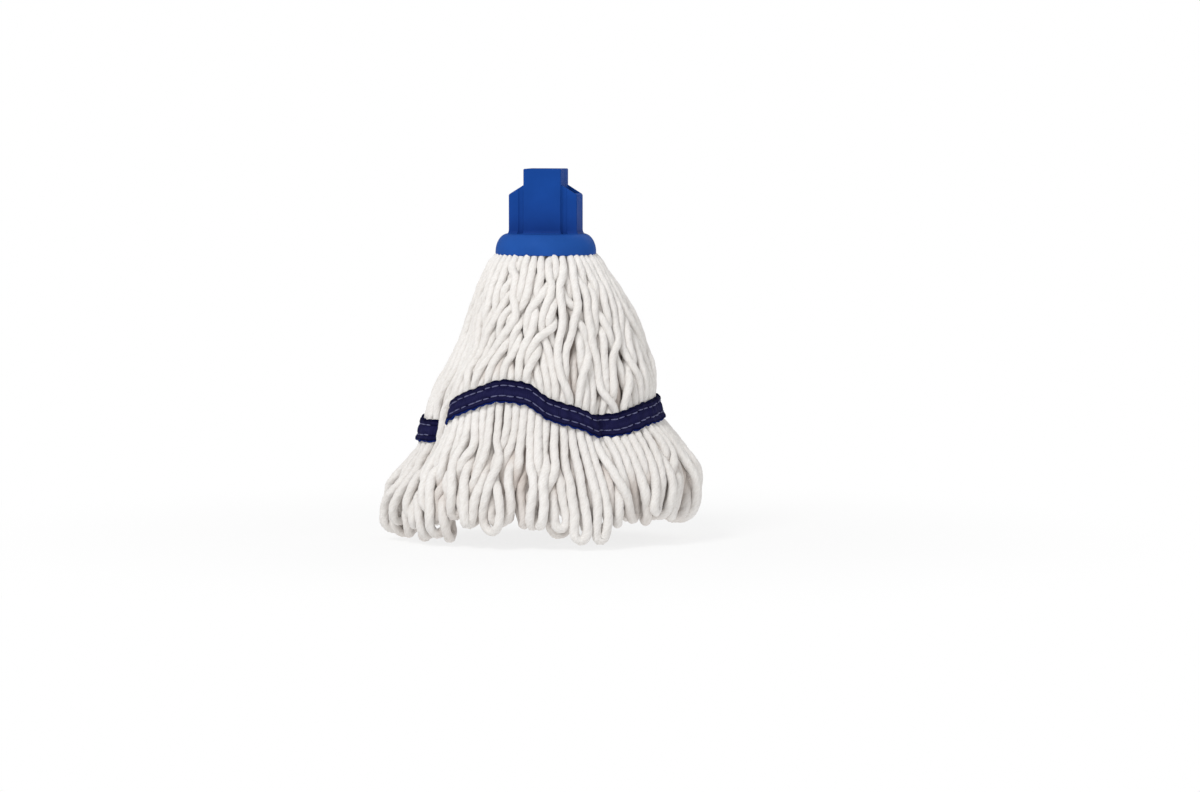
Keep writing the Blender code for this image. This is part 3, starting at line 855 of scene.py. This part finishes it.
def make_yarn():
    """The loops of yarn, each a piece of its own."""
    lines = smoothed_lines(relax(lay_loops(), ROUNDS))
    rings, along = yarn_skin(lines)
    pieces = []
    for number, (ring, line, length) in enumerate(zip(rings, lines, along)):
        name = f"yarn_loop_{number + 1:02d}"
        mesh = tube_mesh(name, ring[None], length[None], "strand")
        mark_depth_shade(mesh, line)
        pieces.append(make_object(name, mesh, YARN))
    for number, locks in nearest_locks(lines).items():
        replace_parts(pieces[number], *locks)


# The folded middles of the yarns, pressed between the skirt's roof and the retainer.
CROWN_RIDGES = 44
CROWN_RIDGE = 0.0007
CROWN_PROFILE = (
    (0.0050, 0.2398), (0.0255, 0.2396), (0.0310, 0.2378), (0.0340, 0.2354), (0.0346, 0.2338),
    (0.0330, 0.2334), (0.0250, 0.2334), (0.0150, 0.2334), (0.0050, 0.2338),
)


def make_crown():
    """A ring of folded yarn with a ridge for every strand that crosses it."""
    points = np.array(CROWN_PROFILE)
    steps = 8 * CROWN_RIDGES
    turn = np.arange(steps) * 2.0 * np.pi / steps
    fine = np.concatenate([np.linspace(first, last, 4, endpoint=False)
                           for first, last in zip(points, np.roll(points, -1, axis=0))])
    ahead = np.roll(fine, -1, axis=0) - np.roll(fine, 1, axis=0)
    outward = np.stack([-ahead[:, 1], ahead[:, 0]], 1) / np.linalg.norm(ahead, axis=1)[:, None]
    ridge = CROWN_RIDGE * (np.abs(np.cos(CROWN_RIDGES * turn / 2.0)) - 0.7)
    section = fine[None] + ridge[:, None, None] * outward[None]
    points = np.stack([AXIS_X + section[..., 0] * np.cos(turn)[:, None],
                       AXIS_Y + section[..., 0] * np.sin(turn)[:, None], section[..., 1]], -1)
    shape = bmesh.new()
    rows = [[shape.verts.new(point) for point in row] for row in points]
    join_rings(shape, rows + rows[:1])
    bmesh.ops.recalc_face_normals(shape, faces=shape.faces)
    mesh = mesh_from("yarn_crown_folds", shape)
    mesh.shade_smooth()
    mesh.uv_layers.new(name="strand")
    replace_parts(make_object("yarn_crown_folds", mesh, YARN), "yarn_crown")


# The tailbands: name, first and last bearing.
BANDS = (("front", -64.0, 101.0), ("rear", 107.0, 287.0))
TAPE_STEP = 0.0007
TAPE_BASE = 0.0009
TAPE_PUFF = 0.0014
STITCH_ROWS = (("upper", 0.0044), ("lower", -0.0036))
STITCH_PITCH = 0.0066
STITCH_LENGTH = 0.0060
THREAD_RADIUS = 0.00055
TUCK_DEPTH = 0.0085
TUCK_DEGREES = 3.2
# The tape's uneven lie: puckers between the stitches, scallops of its upper and lower edge, and its bed.
PUCKER = 0.22
SLOW_PUCKER = 0.16
SLOW_PITCH = 0.0151
UPPER_SCALLOP = 0.00030
LOWER_SCALLOP = 0.00050
SCALLOP_PITCHES = (0.0073, 0.0117)
BED = (0.00040, 0.00030)
BED_PITCHES = (0.0093, 0.0217)
# The stitches: their rise off the tape, the dive of their ends, and how unevenly they are set.
STITCH_INSET = 0.004
STITCH_RISE = 0.00025
STITCH_DIVE = 0.00085
STITCH_SHIFT = 0.0003
STITCH_SWAY = 0.00018
STITCH_SLANT = 0.0002


def tape_radius(bearing, rise):
    """The curtain's radius at a rise over the tailband's middle."""
    reach = station_table(bearing)[1][:, TAPE_STATION - 1:TAPE_STATION + 2]
    share = np.abs(rise) / TAPE_HALF
    end = np.where(rise > 0.0, reach[:, 0], reach[:, 2])
    return reach[:, 1] + share * (end - reach[:, 1])


def tape_puff(along, rise):
    """How far the tape stands proud between its stitch rows, puckered along its length."""
    rows = [TAPE_HALF] + [height for _, height in STITCH_ROWS] + [-TAPE_HALF]
    total = 0.0 * along
    for number, (top, foot) in enumerate(zip(rows, rows[1:])):
        share = np.clip((top - rise) / (top - foot), 0.0, 1.0)
        pucker = 1.0 + PUCKER * ripple(along, STITCH_PITCH, 2.1 * number)
        pucker += SLOW_PUCKER * ripple(along, SLOW_PITCH, 1.3 * number)
        total += TAPE_PUFF * pucker * np.sqrt(np.sin(np.pi * share))
    return total


def tape_line(first, last):
    """Even steps along a tailband, as bearings and lengths."""
    fine = np.linspace(first, last, 1200)
    along = lengths_along(place_points(fine, tape_radius(fine, 0.0 * fine), tape_height(fine)))
    at = np.linspace(0.0, along[-1], round(along[-1] / TAPE_STEP))
    return np.interp(at, along, fine), at


def tape_points(band, bearing, along, rise, offset):
    """Points on a tailband, whose ends tuck in between the strands and whose edges are scalloped."""
    _, first, last = band
    edge = np.clip(np.abs(rise) / TAPE_HALF, 0.0, 1.0) ** 4
    wave = ripple(along, SCALLOP_PITCHES[0], 1.0) + 0.7 * ripple(along, SCALLOP_PITCHES[1])
    scallop = edge * np.where(rise > 0.0, UPPER_SCALLOP, -LOWER_SCALLOP) * wave
    bed = BED[0] * ripple(along, BED_PITCHES[0], 0.6) + BED[1] * ripple(along, BED_PITCHES[1])
    inside = np.minimum(bearing - first, last - bearing)
    tuck = TUCK_DEPTH * (1.0 - smooth(inside / TUCK_DEGREES)) ** 2
    radius = tape_radius(bearing, rise) + TAPE_GAP + offset + bed - tuck
    return place_points(bearing, radius, tape_height(bearing) + rise + scallop)


def make_tape(band):
    """One tailband with its rows of stitches."""
    name, first, last = band
    bearing, along = tape_line(first, last)
    rises = TAPE_HALF * np.cos(np.linspace(0.0, np.pi, 25))
    rises = 0.5 * rises + 0.5 * np.linspace(TAPE_HALF, -TAPE_HALF, 25)
    outer = [tape_points(band, bearing, along, rise + 0.0 * along, TAPE_BASE + tape_puff(along, rise))
             for rise in rises]
    inner = [tape_points(band, bearing, along, rise + 0.0 * along, 0.0) for rise in rises[::-6]]
    tape = np.stack(outer + inner, 1)
    mesh = tube_mesh(f"{name}_tape", tape[None], along[None], "tape")
    spread = np.concatenate([0.5 + rises / TAPE_HALF / 2.0, 0.5 + rises[::-6] / TAPE_HALF / 2.0])
    loops = np.empty(len(mesh.loops), np.int32)
    mesh.loops.foreach_get("vertex_index", loops)
    uv = np.stack([along[loops // len(spread)], spread[loops % len(spread)]], -1)
    mesh.uv_layers["tape"].data.foreach_set("uv", uv.astype(np.float32).ravel())
    piece = make_object(f"{name}_tape", mesh, NAVY)
    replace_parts(piece, f"{name}_tailband")
    rows = [make_stitches(band, bearing, along, row, rise) for row, rise in STITCH_ROWS]


def make_stitches(band, bearing, along, row, rise):
    """One row of short stitches that dive into the tape at both ends."""
    starts = np.arange(STITCH_INSET, along[-1] - STITCH_INSET - STITCH_LENGTH, STITCH_PITCH)
    starts = starts + random.normal(0.0, STITCH_SHIFT, len(starts))
    share = np.linspace(0.0, 1.0, 9)
    at = starts[:, None] + STITCH_LENGTH * share
    arch = np.sin(np.pi * share) ** 0.5
    turn = np.interp(at, along, bearing)
    lift = TAPE_BASE + STITCH_RISE + STITCH_DIVE * (arch - 0.45)
    sway = random.normal(0.0, STITCH_SWAY, at.shape[0])[:, None]
    sway = sway + random.normal(0.0, STITCH_SLANT, at.shape[0])[:, None] * (share - 0.5)
    lines = np.stack([tape_points(band, b, a, rise + s, lift) for b, a, s in zip(turn, at, sway)])
    girth = THREAD_RADIUS * (0.55 + 0.45 * arch)[None, :, None]
    rings = rings_round(lines, girth, np.arange(8) * np.pi / 4.0)
    mesh = tube_mesh(f"{band[0]}_{row}_stitches", rings, at - starts[:, None], "strand")
    piece = make_object(mesh.name, mesh, THREAD)
    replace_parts(piece, f"{band[0]}_{row}_stitching")
    return piece


# The socket: half-widths of its neck and wings, its edges, and the coves beside the neck.
SOCKET_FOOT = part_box("mop_socket")[0][2]
SOCKET_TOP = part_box("mop_socket")[1][2]
NECK_HALF = (0.0152, 0.0142)
NECK_EDGE = 0.0010
WING_HALF = (0.02765, 0.01185)
WING_EDGE = 0.0011
SHOULDER_HALF = 0.0136
SHOULDER_TOP = SOCKET_TOP - 0.0116
SHOULDER_FOOT = SOCKET_TOP - 0.0204
COVE_RUN = 0.0050
COVE_STEPS = 8
GROOVE_RADIUS = 0.0026
GROOVE_ACROSS = NECK_HALF[0] + 1.1 * GROOVE_RADIUS
GROOVE_DEPTH = 0.0007
GROOVE_STEPS = 40
# How far helper solids stand clear of each other's faces, or sink into each other.
HAIR = 0.00001
SINK = 0.0008
SKIRT_RADIUS = 0.0400
SKIRT_TOP_RADIUS = 0.0300
SKIRT_TOP = SOCKET_FOOT + 0.0166
SKIRT_DOME_FOOT = SOCKET_FOOT + 0.0020
SKIRT_LIP = 0.0007
SKIRT_WALL = 0.0026
ROOF = SKIRT_TOP - 0.0030
TURN_STEPS = 96
# The fillet at the body's foot, as heights over the skirt's top and growths.
FOOT_ROWS = (
    (-0.0012, 0.0017), (0.00005, 0.0014), (0.0003, 0.0010), (0.0008, 0.0006), (0.0015, 0.00025),
    (0.0025, 0.00005), (0.0036, -0.00002),
)
BORE_RADIUS = 0.0120
BORE_FLOOR = SOCKET_TOP - 0.0505
BORE_CHAMFER = 0.0009
POST_HOLE = 0.0043
SEAT = (0.0064, 0.0006)
POCKET_WALL = 0.0016
POCKET_FLOOR = SOCKET_TOP - 0.0475
POCKET_EDGE = 0.0008
CUT_MARGIN = 0.0050


def form_object(name, shape):
    """A helper solid from a bmesh, at its place on the socket's axis."""
    bmesh.ops.recalc_face_normals(shape, faces=shape.faces)
    form = add_object(name, mesh_from(name, shape))
    form.location = (AXIS_X, AXIS_Y, 0.0)
    return form


def turned_form(name, profile):
    """A solid of revolution whose profile runs from the axis to the axis."""
    shape = bmesh.new()
    turns = np.arange(TURN_STEPS) * 2.0 * np.pi / TURN_STEPS
    rings = []
    for radius, height in profile:
        if radius == 0.0:
            rings.append([shape.verts.new((0.0, 0.0, height))] * TURN_STEPS)
        else:
            rings.append([shape.verts.new((radius * math.cos(turn), radius * math.sin(turn), height))
                          for turn in turns])
    join_rings(shape, rings)
    return form_object(name, shape)


def loft_form(name, rows, edge=0.0):
    """A solid through closed rows of points, capped at both ends, with its edges rounded if asked."""
    shape = bmesh.new()
    rings = [[shape.verts.new(point) for point in row] for row in rows]
    join_rings(shape, rings)
    shape.faces.new(rings[0])
    shape.faces.new(rings[-1])
    bmesh.ops.recalc_face_normals(shape, faces=shape.faces)
    if edge:
        bmesh.ops.bevel(shape, geom=list(shape.edges), offset=edge, segments=4, profile=0.5,
                        affect="EDGES")
    return form_object(name, shape)


def block_rows(low, high):
    """The two rows of a box between two corners."""
    corners = ((low[0], low[1]), (high[0], low[1]), (high[0], high[1]), (low[0], high[1]))
    return [[(x, y, height) for x, y in corners] for height in (low[2], high[2])]


def shoulder_height(across):
    """The height of a wing's sloping top at a distance from the axis."""
    fall = (SHOULDER_TOP - SHOULDER_FOOT) / (WING_HALF[0] - SHOULDER_HALF)
    return SHOULDER_TOP - fall * (across - SHOULDER_HALF)


def cove_curve():
    """The hollow curve from a wing's face up to the neck's side, with even turns."""
    rise = NECK_HALF[1] - NECK_EDGE - WING_HALF[1]
    slope = np.linspace(0.0, np.pi / 2.0, COVE_STEPS + 1)
    turn = np.arctan2(np.sin(slope) * COVE_RUN, np.cos(slope) * rise)
    across = NECK_HALF[0] - HAIR + COVE_RUN * (1.0 - np.sin(turn))
    return np.stack([across, WING_HALF[1] + HAIR + rise * (1.0 - np.cos(turn))], 1)


def cove_form(side, face):
    """One cove: it fills the corner between the neck and a wing's face."""
    curve = cove_curve()
    inside = [(NECK_HALF[0] - SINK, curve[-1][1]), (NECK_HALF[0] - SINK, WING_HALF[1] - SINK),
              (curve[0][0], WING_HALF[1] - SINK)]
    outline = np.concatenate([curve, inside])
    foot = [(side * x, face * y, SKIRT_TOP - SINK) for x, y in outline]
    top = [(side * x, face * y, shoulder_height(x) - SINK) for x, y in outline]
    return loft_form("cove", (foot, top))


def groove_form(side, face):
    """The shallow groove that runs up a wing's face beside the neck."""
    turn = np.linspace(0.0, 2.0 * np.pi, GROOVE_STEPS, endpoint=False)
    across = side * (GROOVE_ACROSS + GROOVE_RADIUS * np.cos(turn))
    depth = face * (WING_HALF[1] + GROOVE_RADIUS - GROOVE_DEPTH + GROOVE_RADIUS * np.sin(turn))
    return loft_form("groove", [[(x, y, height) for x, y in zip(across, depth)]
                                for height in (SKIRT_TOP + HAIR, SOCKET_TOP)])


def body_outline(growth):
    """The body's section with its coves, grown outwards all round."""
    turn = np.linspace(0.0, np.pi / 2.0, 5)[:, None]
    bend = np.concatenate([np.cos(turn), np.sin(turn)], 1)
    wing = np.array(WING_HALF) - WING_EDGE + WING_EDGE * bend
    neck = np.array(NECK_HALF) - NECK_EDGE + NECK_EDGE * bend
    quarter = np.concatenate([wing, cove_curve()[:-1], neck])
    half = np.concatenate([quarter, quarter[::-1] * (-1.0, 1.0)])
    outline = np.concatenate([half, -half])
    ahead = np.roll(outline, -1, axis=0) - np.roll(outline, 1, axis=0)
    outward = np.stack([ahead[:, 1], -ahead[:, 0]], 1) / np.linalg.norm(ahead, axis=1)[:, None]
    return outline + growth * outward


def skirt_profile():
    """The domed skirt with its rounded lip."""
    turn = np.linspace(np.pi / 2.0, 0.0, 19)
    radius = SKIRT_TOP_RADIUS + (SKIRT_RADIUS - SKIRT_TOP_RADIUS) * np.cos(turn)
    height = SKIRT_DOME_FOOT + (SKIRT_TOP - SKIRT_DOME_FOOT) * np.sin(turn)
    bend = np.linspace(0.0, np.pi / 2.0, 5)
    radius = np.append(radius, SKIRT_RADIUS - SKIRT_LIP * (1.0 - np.cos(bend)))
    height = np.append(height, SOCKET_FOOT + SKIRT_LIP * (1.0 - np.sin(bend)))
    return [(0.0, SKIRT_TOP)] + list(zip(radius, height)) + [(0.0, SOCKET_FOOT)]


def hollow_profile():
    """The bore with its chamfered rim, the post's hole and the arch over the yarn."""
    top = SOCKET_TOP + CUT_MARGIN
    bore = [(0.0, top), (BORE_RADIUS + BORE_CHAMFER + CUT_MARGIN, top),
            (BORE_RADIUS, SOCKET_TOP - BORE_CHAMFER), (BORE_RADIUS, BORE_FLOOR), (SEAT[0], BORE_FLOOR),
            (POST_HOLE, BORE_FLOOR - SEAT[1]), (POST_HOLE, ROOF)]
    turn = np.linspace(np.radians(60.0), 0.0, 9)
    radius = SKIRT_TOP_RADIUS + (SKIRT_RADIUS - SKIRT_TOP_RADIUS) * np.cos(turn) - SKIRT_WALL
    height = SKIRT_DOME_FOOT + (ROOF - SKIRT_DOME_FOOT) * np.sin(turn) / math.sin(turn[0])
    foot = SOCKET_FOOT - CUT_MARGIN
    return bore + list(zip(radius, height)) + [(SKIRT_RADIUS - SKIRT_WALL, foot), (0.0, foot)]


def pocket_form(side):
    """The hollow in one wing, open at its sloping top."""
    across = sorted((side * (NECK_HALF[0] + SINK), side * (WING_HALF[0] - POCKET_WALL)))
    depth = WING_HALF[1] - POCKET_WALL
    rows = block_rows((across[0], -depth, POCKET_FLOOR), (across[1], depth, SOCKET_TOP))
    return loft_form("pocket", rows, POCKET_EDGE)


def make_socket():
    """The socket as one fine moulding, joined and cut as the CAD model is."""
    sides = (-1.0, 1.0)
    corners = list(itertools.product(sides, sides))
    low = (-NECK_HALF[0], -NECK_HALF[1], SKIRT_TOP - SINK)
    high = (NECK_HALF[0], NECK_HALF[1], SOCKET_TOP)
    neck = loft_form("socket_moulding", block_rows(low, high), NECK_EDGE)
    span, foot = WING_HALF[0], SKIRT_TOP - 2.0 * SINK
    outline = [(-span, foot), (span, foot), (span, SHOULDER_FOOT), (SHOULDER_HALF, SHOULDER_TOP),
               (-SHOULDER_HALF, SHOULDER_TOP), (-span, SHOULDER_FOOT)]
    wings = [[(x, face * WING_HALF[1], z) for x, z in outline] for face in sides]
    flare = [[(x, y, SKIRT_TOP + rise) for x, y in body_outline(growth)] for rise, growth in FOOT_ROWS]
    joined = [loft_form("wings", wings, WING_EDGE)] + [cove_form(side, face) for side, face in corners]
    joined += [loft_form("flare", flare), turned_form("skirt", skirt_profile())]
    cut = [groove_form(side, face) for side, face in corners] + [turned_form("hollow", hollow_profile())]
    cut += [pocket_form(side) for side in sides]
    for form in joined + cut:
        modifier = neck.modifiers.new(form.name, "BOOLEAN")
        modifier.operation = "UNION" if form in joined else "DIFFERENCE"
        modifier.solver = "MANIFOLD"
        modifier.object = form
    bpy.context.view_layer.update()
    mesh = bpy.data.meshes.new_from_object(neck.evaluated_get(bpy.context.evaluated_depsgraph_get()))
    for form in [neck] + joined + cut:
        bpy.data.objects.remove(form)
    mesh.transform(Matrix.Translation((AXIS_X, AXIS_Y, 0.0)))
    mesh.materials.clear()
    mesh.shade_smooth()
    mesh.set_sharp_from_angle(angle=math.radians(32.0))
    socket = make_object("socket_moulding", mesh, BLUE)
    weighted = socket.modifiers.new("even_shading", "WEIGHTED_NORMAL")
    weighted.keep_sharp = True
    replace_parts(socket, "mop_socket")


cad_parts["yarn_retainer"].data.materials.clear()
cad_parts["yarn_retainer"].data.materials.append(PALE)

# The camera, as degrees and metres, and the lights: name, place, size and power.
VIEW_AZIMUTH = 12.0
VIEW_ELEVATION = 4.0
VIEW_DISTANCE = 3.5
VIEW_WIDTH = 0.955
VIEW_ASIDE = 0.043
VIEW_HEIGHT = 0.1142
SENSOR = 36.0
WORLD_LIGHT = 0.52
LIGHTS = (
    ("key", (-0.55, -1.45, 1.75), 0.8, 27.0),
    ("fill", (1.5, -1.4, 0.35), 1.2, 3.5),
    ("back", (0.8, 1.8, 1.3), 1.2, 6.0),
)
LIGHT_TARGET = (0.0, 0.0, 0.13)
FLOOR_SIZE = 40.0


def make_camera():
    """A camera in front of the mop, a little above it and to its right."""
    azimuth = math.radians(VIEW_AZIMUTH)
    elevation = math.radians(VIEW_ELEVATION)
    right = Vector((math.cos(azimuth), math.sin(azimuth), 0.0))
    back = Vector((math.sin(azimuth) * math.cos(elevation), -math.cos(azimuth) * math.cos(elevation),
                   math.sin(elevation)))
    target = Vector((AXIS_X, AXIS_Y, VIEW_HEIGHT)) + right * VIEW_ASIDE
    lens = bpy.data.cameras.new("view")
    lens.sensor_width = SENSOR
    lens.lens = SENSOR * VIEW_DISTANCE / VIEW_WIDTH
    camera = add_object("view", lens)
    camera.location = target + back * VIEW_DISTANCE
    camera.rotation_euler = (-back).to_track_quat("-Z", "Y").to_euler()
    bpy.context.scene.camera = camera


def area_light(name, place, size, power):
    """A soft light that looks at the mop's middle."""
    light = bpy.data.lights.new(name, "AREA")
    light.shape = "DISK"
    light.size = size
    light.energy = power
    lamp = add_object(name, light)
    lamp.location = place
    lamp.rotation_euler = (Vector(LIGHT_TARGET) - Vector(place)).to_track_quat("-Z", "Y").to_euler()


def make_room():
    """A white world, a pale floor and three soft lights."""
    world = bpy.data.worlds.new("studio")
    world.use_nodes = True
    tree = world.node_tree
    seen = tree.nodes["Background"]
    glow = tree.nodes.new("ShaderNodeBackground")
    for node, strength in ((seen, 1.0), (glow, WORLD_LIGHT)):
        node.inputs["Color"].default_value = (1.0, 1.0, 1.0, 1.0)
        node.inputs["Strength"].default_value = strength
    rays = tree.nodes.new("ShaderNodeLightPath")
    mix = tree.nodes.new("ShaderNodeMixShader")
    tree.links.new(rays.outputs["Is Camera Ray"], mix.inputs["Fac"])
    tree.links.new(glow.outputs["Background"], mix.inputs[1])
    tree.links.new(seen.outputs["Background"], mix.inputs[2])
    tree.links.new(mix.outputs["Shader"], tree.nodes["World Output"].inputs["Surface"])
    bpy.context.scene.world = world
    bpy.context.scene.view_settings.view_transform = "Standard"
    shape = bmesh.new()
    bmesh.ops.create_grid(shape, x_segments=1, y_segments=1, size=FLOOR_SIZE)
    floor = add_object("floor", mesh_from("floor", shape))
    floor.data.materials.append(floor_look())
    for light in LIGHTS:
        area_light(*light)


def floor_look():
    """Pale matt paper that fades to plain white away from the mop."""
    look = Look("pale_floor", (0.88, 0.88, 0.88), 0.95)
    length = look.node("ShaderNodeVectorMath", (("Vector", look.place()),))
    length.operation = "LENGTH"
    reach = look.node("ShaderNodeMapRange", (("Value", length.outputs["Value"]),), From_Min=0.10,
                      From_Max=0.55, To_Min=0.80, To_Max=1.0)
    reach.interpolation_type = "SMOOTHSTEP"
    glow = look.node("ShaderNodeEmission", Color=(1.0, 1.0, 1.0, 1.0), Strength=1.0)
    mix = look.node("ShaderNodeMixShader", (("Fac", reach.outputs["Result"]),))
    look.tree.links.new(look.shader.outputs["BSDF"], mix.inputs[1])
    look.tree.links.new(glow.outputs["Emission"], mix.inputs[2])
    look.tree.links.new(mix.outputs["Shader"], look.tree.nodes["Material Output"].inputs["Surface"])
    return look.material


make_camera()
make_yarn()
make_crown()
for band in BANDS:
    make_tape(band)
make_socket()
make_room()
